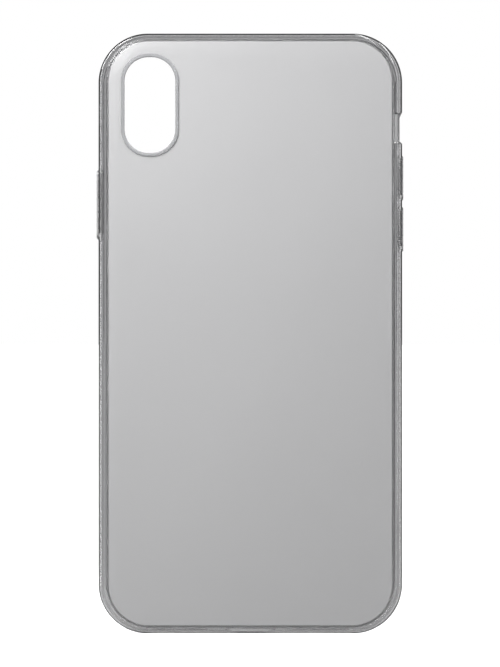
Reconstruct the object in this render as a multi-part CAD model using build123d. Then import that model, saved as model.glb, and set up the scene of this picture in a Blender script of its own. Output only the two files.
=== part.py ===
"""Clear hybrid phone case: a hard back plate in a soft bumper, with a camera guard and side buttons.

The back faces -Y, the phone goes in from +Y, and the case's top points to +Z. The origin is the
middle of the plate's inner face, where the phone's back lies.
"""

import os

from build123d import *

# Bumper, seen from the back
CASE_WIDTH = 77.1
CASE_HEIGHT = 152.3
CORNER_RADIUS = 12.5
SIDE_WALL = 0.7

# Levels along Y: the plate's outer face, its inner face, the phone's glass and the front lip
PLATE_OUTER_Y = -1.0
PLATE_INNER_Y = 0.0
PHONE_GLASS_Y = 8.3
LIP_FRONT_Y = 9.0
MID_DEPTH_Y = 4.15

# Rounded edges of the bumper, outside and in the pocket
SHOULDER_RADIUS = 2.0
FRONT_EDGE_RADIUS = 1.3
POCKET_BACK_RADIUS = 1.3
POCKET_FRONT_RADIUS = 0.9
LIP_INSET = 1.75

# Back plate: how far its visible edge lies inside the outline, and the tongue that the bumper grips
PLATE_INSET_SIDE = 2.6
PLATE_INSET_END = 2.1
PLATE_CORNER_RADIUS = 10.2
TONGUE_REACH = 0.5
TONGUE_LOW_Y = -0.55
TONGUE_HIGH_Y = -0.2

# Camera opening and the guard round it
CAMERA_X = -25.46
CAMERA_Z = 57.95
CAMERA_OPENING = (12.9, 24.1, 6.1)
GUARD_BODY = (13.8, 25.1, 6.5)
GUARD_RIM = (14.7, 26.1, 6.9)
GUARD_SEAT_Y = -0.6
GUARD_TOP_Y = -1.5
GUARD_OUTER_EDGE_RADIUS = 0.35
GUARD_INNER_EDGE_RADIUS = 0.2

# Buttons: side (-1 is -X), middle height, length of the pad's top, how far it stands out, and how
# deep inside the outline its 45 degree ramps start, which is how far they run up the shoulder
BUTTONS = {
    "power_button": (-1, 32.66, 16.9, 0.47, 1.2),
    "volume_up_button": (1, 39.45, 10.9, 0.29, 0.7),
    "volume_down_button": (1, 26.45, 10.9, 0.29, 0.7),
}
RAMP_ANGLE = 45
PAD_BACK_Y = 0.9
PAD_FRONT_Y = 7.1
PAD_INNER_INSET = 0.2
PAD_CORNER_RADIUS = 1.2
PAD_TO_WEB_GAP = 0.05
HOLE_INSET = 1.4
WEB_FOOT_LAP = 0.05
WEB_THICKNESS = 0.3

# Cut-out for the phone's mute switch, on the +X side, and the shallow step round it
SWITCH_Z = 52.1
SWITCH_LENGTH = 7.0
SWITCH_INSET = 1.8
SWITCH_FRONT_Y = 6.9
SWITCH_CORNER_RADIUS = 0.8
STEP_LENGTH = 7.6
STEP_INSET = 2.4
STEP_FRONT_Y = 8.69
STEP_DEPTH = 0.46
STEP_CORNER_RADIUS = 1.0

# Openings in the bottom wall
PORT_LENGTH = 12.5
PORT_HEIGHT = 6.5
SLOT_LENGTH = 14.0
SLOT_HEIGHT = 3.0
SLOT_X = 18.0

# How far the cutting blocks run past the surfaces that they cut
REACH = 5.0


def at_depth(y):
    """Plane seen from the back, with X to the right and Z up, at depth y."""
    return Plane.XZ.offset(-y)


def slab(outline, y_low, y_high, x=0.0, z=0.0):
    """Rounded rectangle (width, height, corner) extruded from y_low to y_high."""
    face = at_depth(y_low) * Pos(x, z) * RectangleRounded(*outline)
    return extrude(face, amount=-(y_high - y_low))


def inset_outline(inset):
    """The bumper's outline moved in by one distance all round."""
    return (CASE_WIDTH - 2 * inset, CASE_HEIGHT - 2 * inset, CORNER_RADIUS - inset)


def back_edges(solid):
    """Edges of the face that looks to -Y."""
    return solid.faces().sort_by(Axis.Y)[0].edges()


def front_edges(solid):
    """Edges of the face that looks to +Y."""
    return solid.faces().sort_by(Axis.Y)[-1].edges()


def case_body(inset=0.0):
    """The case as a solid block with its rounded edges, or the same block a little smaller."""
    body = slab(inset_outline(inset), PLATE_OUTER_Y + inset, LIP_FRONT_Y - inset)
    body = fillet(back_edges(body), SHOULDER_RADIUS - inset)
    return fillet(front_edges(body), FRONT_EDGE_RADIUS - inset)


def phone_space():
    """The pocket that the phone fills, and the mouth inside the front lip."""
    pocket = slab(inset_outline(SIDE_WALL), PLATE_INNER_Y, PHONE_GLASS_Y)
    pocket = fillet(back_edges(pocket), POCKET_BACK_RADIUS)
    pocket = fillet(front_edges(pocket), POCKET_FRONT_RADIUS)
    mouth = slab(inset_outline(LIP_INSET), PHONE_GLASS_Y - POCKET_FRONT_RADIUS, LIP_FRONT_Y)
    return pocket + mouth


def plate_outline(grow=0.0):
    """The plate's visible outline, or the same one moved out."""
    width = CASE_WIDTH - 2 * PLATE_INSET_SIDE
    height = CASE_HEIGHT - 2 * PLATE_INSET_END
    return (width + 2 * grow, height + 2 * grow, PLATE_CORNER_RADIUS + grow)


def plate_blank():
    """The plate before its camera hole: a full-thickness sheet with a thinner tongue round it."""
    sheet = slab(plate_outline(), PLATE_OUTER_Y, PLATE_INNER_Y)
    tongue = slab(plate_outline(TONGUE_REACH), TONGUE_LOW_Y, TONGUE_HIGH_Y)
    return sheet + tongue


def back_plate():
    """Hard sheet with a stepped hole that seats the camera guard."""
    seat = slab(GUARD_RIM, PLATE_OUTER_Y, GUARD_SEAT_Y, CAMERA_X, CAMERA_Z)
    hole = slab(GUARD_BODY, GUARD_SEAT_Y, PLATE_INNER_Y, CAMERA_X, CAMERA_Z)
    return plate_blank() - seat - hole


def camera_guard():
    """Soft ring seated in the plate's stepped hole, standing proud of the back."""
    rim = slab(GUARD_RIM, GUARD_TOP_Y, GUARD_SEAT_Y, CAMERA_X, CAMERA_Z)
    rim = fillet(back_edges(rim), GUARD_OUTER_EDGE_RADIUS)
    body = slab(GUARD_BODY, GUARD_SEAT_Y, PLATE_INNER_Y, CAMERA_X, CAMERA_Z)
    opening = slab(CAMERA_OPENING, GUARD_TOP_Y, PLATE_INNER_Y, CAMERA_X, CAMERA_Z)
    ring = rim + body - opening
    top_face = ring.faces().filter_by(Axis.Y).sort_by(Axis.Y)[0]
    return fillet(top_face.inner_wires()[0].edges(), GUARD_INNER_EDGE_RADIUS)


def on_side(side, inset):
    """Plane on one side wall that looks outward, with its first axis along Y."""
    wall_x = CASE_WIDTH / 2 - inset
    return Plane(origin=(side * wall_x, 0, 0), x_dir=(0, 1, 0), z_dir=(side, 0, 0))


def side_outline(side, y_low, y_high, z_mid, length, corner):
    """Rounded rectangle on a side plane, whose second axis points up on +X and down on -X."""
    centre = Pos((y_low + y_high) / 2, side * z_mid)
    return centre * RectangleRounded(y_high - y_low, length, corner)


def pad_block(name, inset, out, grow):
    """Block as large as one pad's top, or grown all round, from inset inside the wall to out."""
    side, z_mid, length = BUTTONS[name][:3]
    corner = PAD_CORNER_RADIUS + grow
    outline = side_outline(side, PAD_BACK_Y - grow, PAD_FRONT_Y + grow, z_mid, length + 2 * grow, corner)
    return extrude(on_side(side, inset) * outline, amount=inset + out)


def bump(name, sink=0.0):
    """Raised shape of one button with sloped sides, or the same shape sunk into the wall."""
    side, z_mid, length, proud, foot_inset = BUTTONS[name]
    rise = foot_inset + proud
    corner = PAD_CORNER_RADIUS + rise
    outline = side_outline(side, PAD_BACK_Y - rise, PAD_FRONT_Y + rise, z_mid, length + 2 * rise, corner)
    return extrude(on_side(side, foot_inset + sink) * outline, amount=rise, taper=RAMP_ANGLE)


def button_pad(name):
    """The pad that is pressed, clear of its web all round."""
    proud = BUTTONS[name][3]
    return pad_block(name, PAD_INNER_INSET, proud, -PAD_TO_WEB_GAP)


def button_hole(name):
    """Hole in the side wall that the pad and its web stand in."""
    proud = BUTTONS[name][3]
    return pad_block(name, HOLE_INSET, REACH, proud - WEB_FOOT_LAP)


def button_web(name):
    """Thin sloped skin that spans the hole from the wall to the pad."""
    skin = bump(name) - bump(name, sink=WEB_THICKNESS)
    return (skin & button_hole(name)) - pad_block(name, REACH, REACH, 0.0)


def side_cut(inset, y_high, z_mid, length, corner):
    """Block through the +X wall and its shoulder, open to the back."""
    outline = side_outline(1, PLATE_OUTER_Y - REACH, y_high, z_mid, length, corner)
    return extrude(on_side(1, inset) * outline, amount=inset + REACH)


def switch_cutout():
    """Opening for the mute switch that wraps onto the shoulder, and the shallow step round it."""
    opening = side_cut(SWITCH_INSET, SWITCH_FRONT_Y, SWITCH_Z, SWITCH_LENGTH, SWITCH_CORNER_RADIUS)
    step = side_cut(STEP_INSET, STEP_FRONT_Y, SWITCH_Z, STEP_LENGTH, STEP_CORNER_RADIUS)
    return opening + (step - case_body(STEP_DEPTH))


def bottom_slot(length, height, x):
    """Round-ended opening through the bottom wall."""
    below = Plane(origin=(x, MID_DEPTH_Y, -CASE_HEIGHT / 2 - REACH), x_dir=(1, 0, 0), z_dir=(0, 0, 1))
    return extrude(below * SlotOverall(length, height), amount=REACH + 2 * SIDE_WALL)


def bottom_cutouts():
    """Charging port in the middle, with a microphone and a speaker slot beside it."""
    port = bottom_slot(PORT_LENGTH, PORT_HEIGHT, 0.0)
    slots = [bottom_slot(SLOT_LENGTH, SLOT_HEIGHT, side * SLOT_X) for side in (-1, 1)]
    return port + slots


def bumper_frame():
    """Soft perimeter that grips the plate's tongue and the phone's glass, raised round each button."""
    block = case_body()
    for name in BUTTONS:
        block += bump(name)
    frame = block - phone_space() - plate_blank() - switch_cutout() - bottom_cutouts()
    for name in BUTTONS:
        frame -= button_hole(name)
    return frame


def main():
    parts = {
        "back_plate": back_plate(),
        "camera_guard": camera_guard(),
        "bumper_frame": bumper_frame(),
    }
    for name in BUTTONS:
        parts[name] = button_pad(name)
        parts[name.replace("_button", "_web")] = button_web(name)
    os.makedirs("parts", exist_ok=True)
    for name, shape in parts.items():
        export_step(shape, f"parts/{name}.step")


main()
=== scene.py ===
"""Clear phone case: a hard smoke-clear back in a soft bumper, with a camera guard and buttons."""

import math

import bmesh
import bpy
from mathutils import Euler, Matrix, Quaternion, Vector


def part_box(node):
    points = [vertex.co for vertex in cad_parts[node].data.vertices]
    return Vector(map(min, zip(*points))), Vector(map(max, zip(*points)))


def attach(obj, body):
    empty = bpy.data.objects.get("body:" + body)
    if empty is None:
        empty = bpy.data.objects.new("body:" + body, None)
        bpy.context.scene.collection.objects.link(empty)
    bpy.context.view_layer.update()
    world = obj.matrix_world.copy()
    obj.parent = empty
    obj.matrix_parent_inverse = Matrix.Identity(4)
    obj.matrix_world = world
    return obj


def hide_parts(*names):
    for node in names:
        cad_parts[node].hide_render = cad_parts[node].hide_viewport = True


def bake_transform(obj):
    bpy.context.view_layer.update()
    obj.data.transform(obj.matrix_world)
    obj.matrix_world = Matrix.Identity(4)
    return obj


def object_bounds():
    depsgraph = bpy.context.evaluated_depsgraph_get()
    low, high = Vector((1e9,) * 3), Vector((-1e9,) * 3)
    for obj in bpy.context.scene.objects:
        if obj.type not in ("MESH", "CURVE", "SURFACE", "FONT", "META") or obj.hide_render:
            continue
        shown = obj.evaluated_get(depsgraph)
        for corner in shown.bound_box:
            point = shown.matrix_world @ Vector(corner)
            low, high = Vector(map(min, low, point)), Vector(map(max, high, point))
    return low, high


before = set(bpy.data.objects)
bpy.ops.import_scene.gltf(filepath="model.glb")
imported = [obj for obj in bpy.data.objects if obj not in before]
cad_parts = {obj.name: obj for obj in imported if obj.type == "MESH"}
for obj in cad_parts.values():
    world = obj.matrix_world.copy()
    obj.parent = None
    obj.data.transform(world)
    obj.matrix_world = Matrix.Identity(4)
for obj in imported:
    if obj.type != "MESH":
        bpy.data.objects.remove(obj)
cad_low, cad_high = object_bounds()
bpy.ops.object.select_all(action="DESELECT")


# ---- Floor
# A plain pale floor that the case stands on, on its lower edge. It runs so far back that its edge
# can't be seen, and it throws back only part of its light, so that it doesn't wash out the case.
floor_size = 60.0
floor_grey = 0.92
bounce_grey = 0.27

bpy.ops.mesh.primitive_plane_add(size=floor_size, location=(0, 0, cad_low.z))
floor = bpy.context.active_object
floor.name = "floor"
bpy.ops.object.transform_apply(location=True, rotation=True, scale=True)
floor_finish = bpy.data.materials.new("pale_floor")
floor_finish.use_nodes = True
floor_nodes = floor_finish.node_tree
floor_shader = floor_nodes.nodes["Principled BSDF"]
floor_shader.inputs["Roughness"].default_value = 0.9
floor_shader.inputs["Specular IOR Level"].default_value = 0.0
floor_path = floor_nodes.nodes.new("ShaderNodeLightPath")
floor_tone = floor_nodes.nodes.new("ShaderNodeMix")
floor_tone.data_type = "RGBA"
floor_tone.inputs["A"].default_value = (bounce_grey, bounce_grey, bounce_grey, 1)
floor_tone.inputs["B"].default_value = (floor_grey, floor_grey, floor_grey, 1)
floor_nodes.links.new(floor_path.outputs["Is Camera Ray"], floor_tone.inputs["Factor"])
floor_nodes.links.new(floor_tone.outputs["Result"], floor_shader.inputs["Base Color"])
floor.data.materials.append(floor_finish)


# ---- Light
# Soft studio light: an even dim surround with dark flags round a white ground, which draw the clear
# edges, a broad light straight above for the floor alone, a softbox close by at the upper left
# whose light fades to the lower right, a weak one on the right, and strips that show only in gloss.
surround_seen = (1.0, 1.0, 1.0, 1)
surround_felt = (0.3, 0.3, 0.303, 1)
side_glow = (0.8, 0.8, 0.805, 1)
flag_tone = (0.06, 0.06, 0.062, 1)
ground_behind = (0.58, 0.58, 0.585, 1)
overhead_strength = 3.8
overhead_spread = 40

scene = bpy.context.scene
scene.view_settings.view_transform = "Standard"
world = bpy.data.worlds.new("studio")
scene.world = world
world.use_nodes = True
sky = world.node_tree
seen = sky.nodes.new("ShaderNodeLightPath")
shade = sky.nodes.new("ShaderNodeMix")
shade.data_type = "RGBA"
shade.inputs["B"].default_value = surround_seen
way = sky.nodes.new("ShaderNodeTexCoord")
split = sky.nodes.new("ShaderNodeSeparateXYZ")
flags = sky.nodes.new("ShaderNodeValToRGB")
stops = flags.color_ramp.elements
stops[0].position = 0.1
stops[0].color = surround_felt
stops[1].position = 0.99
stops[1].color = ground_behind
for position, tone in ((0.2, side_glow), (0.4, side_glow), (0.6, flag_tone), (0.95, flag_tone)):
    stops.new(position).color = tone
sky.links.new(way.outputs["Generated"], split.inputs["Vector"])
sky.links.new(split.outputs["Y"], flags.inputs["Fac"])
sky.links.new(flags.outputs["Color"], shade.inputs["A"])
sky.links.new(seen.outputs["Is Camera Ray"], shade.inputs["Factor"])
sky.links.new(shade.outputs["Result"], sky.nodes["Background"].inputs["Color"])

sun = bpy.data.lights.new("overhead", "SUN")
sun.energy = overhead_strength
sun.angle = math.radians(overhead_spread)
sun.use_shadow = False
sun_holder = bpy.data.objects.new("overhead", sun)
scene.collection.objects.link(sun_holder)
sun_holder.visible_glossy = False
sun_holder.visible_transmission = False


def softbox(name, place, target, width, height, power, roll=0.0, diffuse=True, glossy=True):
    """Rectangular light facing target, turned by roll degrees, for matt surfaces, gloss or both."""
    lamp = bpy.data.lights.new(name, "AREA")
    lamp.shape = "RECTANGLE"
    lamp.size = width
    lamp.size_y = height
    lamp.energy = power
    holder = bpy.data.objects.new(name, lamp)
    scene.collection.objects.link(holder)
    holder.location = place
    aim = (Vector(target) - Vector(place)).to_track_quat("-Z", "Y")
    holder.rotation_euler = (aim @ Quaternion((0, 0, 1), math.radians(roll))).to_euler()
    holder.visible_camera = False
    holder.visible_diffuse = diffuse
    holder.visible_glossy = glossy
    holder.visible_transmission = diffuse


softbox(
    "key_softbox", (-0.1, -0.19, 0.17), (-0.02, 0, 0.03), width=0.1, height=0.13, power=1.08,
    glossy=False,
)
softbox("fill_softbox", (0.7, -0.5, 0.1), (0, 0, 0), width=0.3, height=0.9, power=1.8)

# Strips for gloss alone, which draw the glints: two long slanting ones at the upper right, a broad
# one beyond the upper left corner, and a narrow one straight beside each wall. Each row gives the
# name, the place, the target, the width, the height, the power and the roll.
right_corner = (0.033, 0, 0.072)
left_corner = (-0.03, 0, 0.07)
for name, place, target, width, height, power, roll in (
    ("upper_strip", (0.151, -0.036, 0.453), right_corner, 0.6, 0.06, 0.9, 33),
    ("outer_strip", (0.317, -0.036, 0.346), right_corner, 0.6, 0.06, 0.9, 25),
    ("corner_strip", (-0.313, 0.07, 0.353), left_corner, 0.16, 0.4, 2.0, 0),
    ("left_strip", (-0.19, -0.002, 0.017), (-0.038, -0.002, 0.017), 0.05, 0.185, 0.145, 0),
    ("right_strip", (0.19, -0.002, 0.017), (0.038, -0.002, 0.017), 0.03, 0.185, 0.052, 0),
):
    softbox(name, place, target, width, height, power, roll=roll, diffuse=False)


# ---- Camera
# Straight on to the back at mid-height, with a long lens from far away, so the sides hardly show.
MM = 0.001
lens_mm = 250.0
sensor_mm = 36.0
view_height = 169.4 * MM
wall_depth = 1.0 * MM
camera_shift = -0.08 * MM

camera_data = bpy.data.cameras.new("camera")
camera_data.lens = lens_mm
camera_data.sensor_width = sensor_mm
camera_data.clip_end = 100.0
camera = bpy.data.objects.new("camera", camera_data)
scene.collection.objects.link(camera)
camera.location = (camera_shift, wall_depth - view_height * lens_mm / sensor_mm, 0)
camera.rotation_euler = (math.pi / 2, 0, 0)
scene.camera = camera


# ---- Back plate
# Hard polycarbonate sheet, smoke-clear, with a fine grain. It is moulded first: the bumper grips a
# tongue round its edge, and its hole has a step for the guard.
corner_steps = 40
merge_gap = 0.0005 * MM
level_gap = 0.001 * MM
to_back = Euler((math.radians(90), 0, 0))


def outline_face(name, size, corner, place, turn):
    """Rounded rectangle centred on place. It is left in edit mode, all selected."""
    bpy.ops.object.select_all(action="DESELECT")
    bpy.ops.mesh.primitive_plane_add(size=1, location=place, rotation=turn)
    piece = bpy.context.active_object
    piece.name = name
    piece.scale = (size[0], size[1], 1)
    bpy.ops.object.transform_apply(location=True, rotation=True, scale=True)
    bpy.ops.object.mode_set(mode="EDIT")
    bpy.ops.mesh.select_all(action="SELECT")
    bpy.ops.mesh.bevel(offset=corner, segments=corner_steps, affect="VERTICES", clamp_overlap=False)
    return piece


def select_level(piece, place, out, level):
    """In edit mode, selects what lies on the plane that is level beyond place along out."""
    shape = bmesh.from_edit_mesh(piece.data)
    bpy.ops.mesh.select_mode(type="VERT")
    bpy.ops.mesh.select_all(action="DESELECT")
    for vertex in shape.verts:
        vertex.select_set(abs((vertex.co - place).dot(out) - level) < level_gap)
    shape.select_flush_mode()
    bmesh.update_edit_mesh(piece.data)
    bpy.ops.mesh.select_mode(type="EDGE")


def block(name, size, corner, place, turn, depth, near_round=0.0, far_round=0.0, steps=8):
    """Solid behind a rounded rectangle, with its near and far edges rounded if asked."""
    piece = outline_face(name, size, corner, place, turn)
    out = Vector((0, 0, 1))
    out.rotate(turn)
    bpy.ops.mesh.extrude_region_move(TRANSFORM_OT_translate={"value": -out * depth})
    bpy.ops.mesh.select_all(action="SELECT")
    bpy.ops.mesh.normals_make_consistent(inside=False)
    for level, radius in ((0, near_round), (-depth, far_round)):
        if radius:
            select_level(piece, Vector(place), out, level)
            bpy.ops.mesh.bevel(offset=radius, segments=steps, affect="EDGES", clamp_overlap=False)
    bpy.ops.object.mode_set(mode="OBJECT")
    return piece


def combine(piece, other, operation):
    """Joins other to piece or cuts it away, merges points that fall together, and removes other."""
    bpy.ops.object.select_all(action="DESELECT")
    bpy.context.view_layer.objects.active = piece
    piece.select_set(True)
    bpy.ops.object.modifier_add(type="BOOLEAN")
    step = piece.modifiers[-1]
    step.operation = operation
    step.solver = "EXACT"
    step.object = other
    bpy.ops.object.modifier_apply(modifier=step.name)
    bpy.data.objects.remove(other)
    bpy.ops.object.mode_set(mode="EDIT")
    bpy.ops.mesh.select_all(action="SELECT")
    bpy.ops.mesh.remove_doubles(threshold=merge_gap)
    bpy.ops.mesh.dissolve_degenerate(threshold=merge_gap)
    bpy.ops.object.mode_set(mode="OBJECT")


def smooth(piece, angle=30):
    """Smooth shading that leaves edges sharper than the angle crisp."""
    bpy.ops.object.select_all(action="DESELECT")
    bpy.context.view_layer.objects.active = piece
    piece.select_set(True)
    bpy.ops.object.shade_smooth_by_angle(angle=math.radians(angle))


plate_low, plate_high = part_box("back_plate")
guard_low, guard_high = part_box("camera_guard")
tongue_reach = 0.5 * MM
tongue_back_y = -0.55 * MM
tongue_front_y = -0.2 * MM
plate_corner = 10.2 * MM
tongue_size = ((plate_high - plate_low).x, (plate_high - plate_low).z)
sheet_size = (tongue_size[0] - 2 * tongue_reach, tongue_size[1] - 2 * tongue_reach)
guard_mid = (guard_low + guard_high) / 2
guard_size = ((guard_high - guard_low).x, (guard_high - guard_low).z)
guard_corner = 6.9 * MM
guard_step = 0.45 * MM
guard_seat_y = -0.6 * MM
sheet_round = 0.15 * MM
seam = 0.02 * MM
over = 1.0 * MM


def grown(size, by):
    """The same outline size, moved out all round."""
    return (size[0] + 2 * by, size[1] + 2 * by)


plate = block(
    "smoke_clear_back", sheet_size, plate_corner, (0, plate_low.y, 0), to_back,
    plate_high.y - plate_low.y, near_round=sheet_round, steps=4,
)
tongue = block(
    "tongue", tongue_size, plate_corner + tongue_reach, (0, tongue_back_y, 0), to_back,
    tongue_front_y - tongue_back_y,
)
combine(plate, tongue, "UNION")
seat = block(
    "seat", grown(guard_size, seam), guard_corner, (guard_mid.x, plate_low.y - over, guard_mid.z),
    to_back, guard_seat_y + seam - plate_low.y + over,
)
combine(plate, seat, "DIFFERENCE")
hole = block(
    "hole", grown(guard_size, seam - guard_step), guard_corner - guard_step,
    (guard_mid.x, plate_low.y - over, guard_mid.z), to_back, plate_high.y - plate_low.y + 2 * over,
)
combine(plate, hole, "DIFFERENCE")
smooth(plate)


def moulded(name, dark, light, cloud_scale, smoothest, roughest, grain_scale, grain_height):
    """Plastic whose tint and roughness drift in soft clouds, over a fine surface grain."""
    finish = bpy.data.materials.new(name)
    finish.use_nodes = True
    nodes = finish.node_tree.nodes
    links = finish.node_tree.links
    shader = nodes["Principled BSDF"]
    place = nodes.new("ShaderNodeTexCoord")
    clouds = nodes.new("ShaderNodeTexNoise")
    clouds.inputs["Scale"].default_value = cloud_scale
    clouds.inputs["Detail"].default_value = 3.0
    tint = nodes.new("ShaderNodeMix")
    tint.data_type = "RGBA"
    tint.inputs["A"].default_value = (*dark, 1)
    tint.inputs["B"].default_value = (*light, 1)
    polish = nodes.new("ShaderNodeMapRange")
    polish.inputs["To Min"].default_value = smoothest
    polish.inputs["To Max"].default_value = roughest
    grain = nodes.new("ShaderNodeTexNoise")
    grain.inputs["Scale"].default_value = grain_scale
    grain.inputs["Detail"].default_value = 2.0
    bump = nodes.new("ShaderNodeBump")
    bump.inputs["Strength"].default_value = 0.25
    bump.inputs["Distance"].default_value = grain_height
    links.new(place.outputs["Object"], clouds.inputs["Vector"])
    links.new(clouds.outputs["Fac"], tint.inputs["Factor"])
    links.new(tint.outputs["Result"], shader.inputs["Base Color"])
    links.new(clouds.outputs["Fac"], polish.inputs["Value"])
    links.new(polish.outputs["Result"], shader.inputs["Roughness"])
    links.new(place.outputs["Object"], grain.inputs["Vector"])
    links.new(grain.outputs["Fac"], bump.inputs["Height"])
    links.new(bump.outputs["Normal"], shader.inputs["Normal"])
    return finish, shader


smoke, smoke_shader = moulded(
    "smoke_polycarbonate", (0.48, 0.48, 0.485), (0.52, 0.52, 0.525), cloud_scale=18.0,
    smoothest=0.24, roughest=0.34, grain_scale=2600.0, grain_height=0.004 * MM,
)
smoke_shader.inputs["IOR"].default_value = 1.58
smoke_shader.inputs["Transmission Weight"].default_value = 0.45
plate.data.materials.append(smoke)
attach(plate, "case")
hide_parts("back_plate")


# ---- Bumper
# Soft clear plastic moulded round the plate: shoulder, side walls, front lip and all the openings.
# It rises in a low collar round each button, so that the button's ramps run up the shoulder.
case_size = (77.1 * MM, 152.3 * MM)
case_corner = 12.5 * MM
shoulder = 2.0 * MM
front_edge = 1.3 * MM
side_wall = 0.7 * MM
pocket_depth = 8.3 * MM
pocket_back_round = 1.3 * MM
pocket_front_round = 0.9 * MM
collar_foot = 0.1 * MM
lip_inset = 1.75 * MM
lip_bevel = 0.25 * MM
seam_bevel = 0.15 * MM
to_front = Euler((math.radians(-90), 0, 0))
to_right = Euler((math.radians(90), 0, math.radians(90)))
to_left = Euler((math.radians(90), 0, math.radians(-90)))
to_ground = Euler((math.radians(180), 0, 0))


def funnel(name, size, corner, place, turn, mouth_depth, depth):
    """Cutting block that narrows at 45 degrees at first, which leaves a bevelled opening."""
    piece = outline_face(name, grown(size, mouth_depth), corner + mouth_depth, place, turn)
    out = Vector((0, 0, 1))
    out.rotate(turn)
    bpy.ops.mesh.extrude_region_move(TRANSFORM_OT_translate={"value": out * over})
    bpy.ops.mesh.select_all(action="SELECT")
    bpy.ops.mesh.normals_make_consistent(inside=False)
    select_level(piece, Vector(place), out, 0)
    bpy.ops.mesh.select_mode(type="FACE")
    bpy.ops.mesh.inset(thickness=mouth_depth, depth=mouth_depth)
    bpy.ops.mesh.extrude_region_move(TRANSFORM_OT_translate={"value": -out * depth})
    bpy.ops.object.mode_set(mode="OBJECT")
    return piece


# Each button: the way it faces, and how deep in the wall its ramps start
pad_gap = 0.05 * MM
pad_corner = 1.2 * MM
web_lap = 0.05 * MM
hole_depth = 1.4 * MM
buttons = {
    "power": (to_left, 1.2 * MM),
    "volume_up": (to_right, 0.7 * MM),
    "volume_down": (to_right, 0.7 * MM),
}


def pad_facts(name):
    """Middle of a pad's top, its outward direction, its top's size with the gap, and its rise."""
    low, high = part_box(name + "_button")
    out = Vector((0, 0, 1))
    out.rotate(buttons[name][0])
    middle = (low + high) / 2
    middle.x = high.x if out.x > 0 else low.x
    size = grown((high.y - low.y, high.z - low.z), pad_gap)
    return middle, out, size, abs(middle.x) - case_size[0] / 2


bumper = block(
    "clear_bumper", case_size, case_corner, (0, plate_low.y, 0), to_back,
    cad_high.y - plate_low.y, near_round=shoulder, far_round=front_edge, steps=20,
)
for name, (turn, foot) in buttons.items():
    middle, out, size, proud = pad_facts(name)
    rise = foot + proud
    foot_place = middle - out * rise
    collar = block("collar", grown(size, rise), pad_corner + rise, foot_place, turn, collar_foot)
    bpy.ops.object.mode_set(mode="EDIT")
    select_level(collar, middle, out, -rise)
    bpy.ops.mesh.select_mode(type="FACE")
    bpy.ops.mesh.inset(thickness=rise, depth=rise)
    bpy.ops.object.mode_set(mode="OBJECT")
    combine(bumper, collar, "UNION")

# All that is cut away, joined first: the phone's space and the plate's, then the openings
away = block(
    "pocket", grown(case_size, -side_wall), case_corner - side_wall, (0, plate_high.y, 0), to_back,
    pocket_depth, near_round=pocket_back_round, far_round=pocket_front_round,
)
mouth = funnel(
    "mouth", grown(case_size, -lip_inset), case_corner - lip_inset, (0, cad_high.y, 0), to_front,
    lip_bevel, 2 * over,
)
window = funnel(
    "window", grown(sheet_size, seam), plate_corner + seam, (0, plate_low.y, 0), to_back,
    seam_bevel, 2 * over,
)
groove = block(
    "groove", grown(tongue_size, seam), plate_corner + tongue_reach + seam,
    (0, tongue_back_y - seam, 0), to_back, tongue_front_y - tongue_back_y + 2 * seam,
)
cuts = [mouth, window, groove]

# Holes for the buttons, with corners a touch rounder than the collars', so no two edges coincide
for name, (turn, _) in buttons.items():
    middle, out, size, proud = pad_facts(name)
    span = proud - web_lap
    corner = pad_corner + span + web_lap
    reach = over + proud + hole_depth
    cuts.append(block("hole", grown(size, span), corner, middle + out * over, turn, reach))

# Mute switch opening: bevelled on the side, and wider where it wraps onto the shoulder
switch_z = 52.1 * MM
switch_length = 7.0 * MM
switch_front_y = 6.9 * MM
switch_back_y = -6.0 * MM
switch_corner = 0.8 * MM
side_bevel = 0.5 * MM
shoulder_bevel = 0.6 * MM
switch_inset = 1.8 * MM
step_bevel = 0.45 * MM
step_length = 6.7 * MM
step_front_y = 8.7 * MM
step_floor = 0.01 * MM

cuts.append(funnel(
    "step", (step_front_y - switch_back_y, step_length), switch_corner,
    (case_size[0] / 2, (step_front_y + switch_back_y) / 2, switch_z), to_right,
    step_bevel, step_floor,
))
cuts.append(funnel(
    "side_cut", (switch_front_y - switch_back_y, switch_length), switch_corner,
    (case_size[0] / 2, (switch_front_y + switch_back_y) / 2, switch_z), to_right, side_bevel,
    switch_inset - side_bevel,
))
cuts.append(funnel(
    "shoulder_cut", (2 * switch_inset, switch_length), switch_corner,
    (case_size[0] / 2, plate_low.y, switch_z), to_back, shoulder_bevel, 3 * over,
))

# Charging port in the bottom wall, with a round-ended slot on each side for microphone and speaker
mid_depth_y = 4.15 * MM
port_size = (12.5 * MM, 6.5 * MM)
slot_size = (14.0 * MM, 3.0 * MM)
slot_x = 18.0 * MM
rim_bevel = 0.2 * MM
nearly_half = 0.49
for x, size in ((0, port_size), (-slot_x, slot_size), (slot_x, slot_size)):
    place = (x, mid_depth_y, cad_low.z)
    corner = size[1] * nearly_half
    cuts.append(funnel("opening", size, corner, place, to_ground, rim_bevel, 2 * side_wall))
for cut in cuts:
    combine(away, cut, "UNION")
combine(bumper, away, "DIFFERENCE")
smooth(bumper)

# Shading that follows the broad faces, so that the long rounded edges shine evenly
bpy.ops.object.modifier_add(type="WEIGHTED_NORMAL")
bumper.modifiers[-1].keep_sharp = True
bpy.ops.object.modifier_apply(modifier=bumper.modifiers[-1].name)

soft, soft_shader = moulded(
    "clear_soft_plastic", (0.8, 0.8, 0.805), (0.86, 0.86, 0.865), cloud_scale=25.0,
    smoothest=0.02, roughest=0.05, grain_scale=1400.0, grain_height=0.0006 * MM,
)
soft_shader.inputs["IOR"].default_value = 1.49
soft_shader.inputs["Transmission Weight"].default_value = 1.0
bumper.data.materials.append(soft)
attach(bumper, "case")
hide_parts("bumper_frame")


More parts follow.
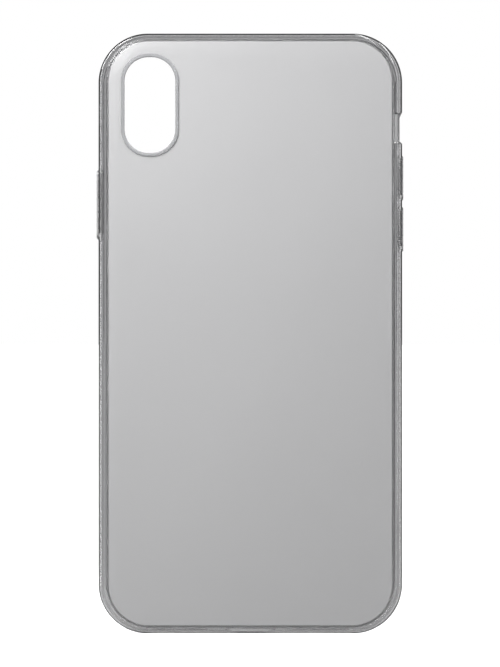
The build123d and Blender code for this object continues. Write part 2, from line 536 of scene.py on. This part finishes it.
# ---- Camera guard
# Soft ring moulded into the plate's stepped hole, standing proud of the back so that the camera's
# glass never touches a table. Both edges of its top are rounded.
guard_wall = 0.9 * MM
opening_size = grown(guard_size, -guard_wall)
opening_corner = 6.1 * MM
guard_round = 0.28 * MM

guard = block(
    "camera_guard_ring", guard_size, guard_corner, (guard_mid.x, guard_low.y, guard_mid.z),
    to_back, guard_seat_y - guard_low.y,
)
foot = block(
    "foot", grown(guard_size, -guard_step), guard_corner - guard_step,
    (guard_mid.x, guard_seat_y - merge_gap, guard_mid.z), to_back,
    guard_high.y - guard_seat_y + merge_gap,
)
combine(guard, foot, "UNION")
opening = block(
    "opening", opening_size, opening_corner, (guard_mid.x, guard_low.y - over, guard_mid.z),
    to_back, guard_high.y - guard_low.y + 2 * over,
)
combine(guard, opening, "DIFFERENCE")
bpy.ops.object.mode_set(mode="EDIT")
select_level(guard, guard_low, Vector((0, -1, 0)), 0)
bpy.ops.mesh.bevel(offset=guard_round, segments=6, affect="EDGES", clamp_overlap=False)
bpy.ops.object.mode_set(mode="OBJECT")
smooth(guard)

ring, ring_shader = moulded(
    "guard_soft_plastic", (0.42, 0.425, 0.435), (0.48, 0.485, 0.495), cloud_scale=60.0,
    smoothest=0.08, roughest=0.16, grain_scale=1400.0, grain_height=0.003 * MM,
)
ring_shader.inputs["IOR"].default_value = 1.49
ring_shader.inputs["Transmission Weight"].default_value = 0.6
guard.data.materials.append(ring)
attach(guard, "case")
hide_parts("camera_guard")


# ---- Button pads
# The thick middle of each button, which the finger presses onto the phone's own key. Soft clear
# plastic with a flat top and softened edges.
pad_round = 0.2 * MM
clear, clear_shader = moulded(
    "clear_button_plastic", (0.6, 0.6, 0.605), (0.66, 0.66, 0.665), cloud_scale=40.0,
    smoothest=0.03, roughest=0.07, grain_scale=1400.0, grain_height=0.0006 * MM,
)
clear_shader.inputs["IOR"].default_value = 1.49
clear_shader.inputs["Transmission Weight"].default_value = 0.92

for name, (turn, _) in buttons.items():
    middle, _, size, _ = pad_facts(name)
    low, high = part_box(name + "_button")
    pad = block(
        name + "_pad", grown(size, -pad_gap), pad_corner - pad_gap, middle, turn, (high - low).x,
        near_round=pad_round, steps=4,
    )
    smooth(pad)
    pad.data.materials.append(clear)
    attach(pad, name + "_button")
    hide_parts(name + "_button")


# ---- Button webs
# Thin sloped skin all round each pad, moulded in one with the bumper. On the real case it flexes
# when the pad goes in, its outer edge staying with the case and its inner edge going with the pad;
# here it is built at rest and joined to no body.
for name, (turn, _) in buttons.items():
    middle, out, size, proud = pad_facts(name)
    run = proud - web_lap - seam
    wall_edge = middle - out * run
    web = outline_face(name + "_skin", grown(size, run), pad_corner + run, wall_edge, turn)
    bpy.ops.mesh.inset(thickness=run, depth=run)
    bpy.ops.mesh.delete(type="FACE")
    bpy.ops.mesh.select_all(action="SELECT")
    bpy.ops.mesh.extrude_region_move(TRANSFORM_OT_translate={"value": -out * run / 2})
    bpy.ops.mesh.select_all(action="SELECT")
    bpy.ops.mesh.normals_make_consistent(inside=False)
    bpy.ops.object.mode_set(mode="OBJECT")
    smooth(web)
    web.data.materials.append(clear)
    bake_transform(web)
    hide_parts(name + "_web")
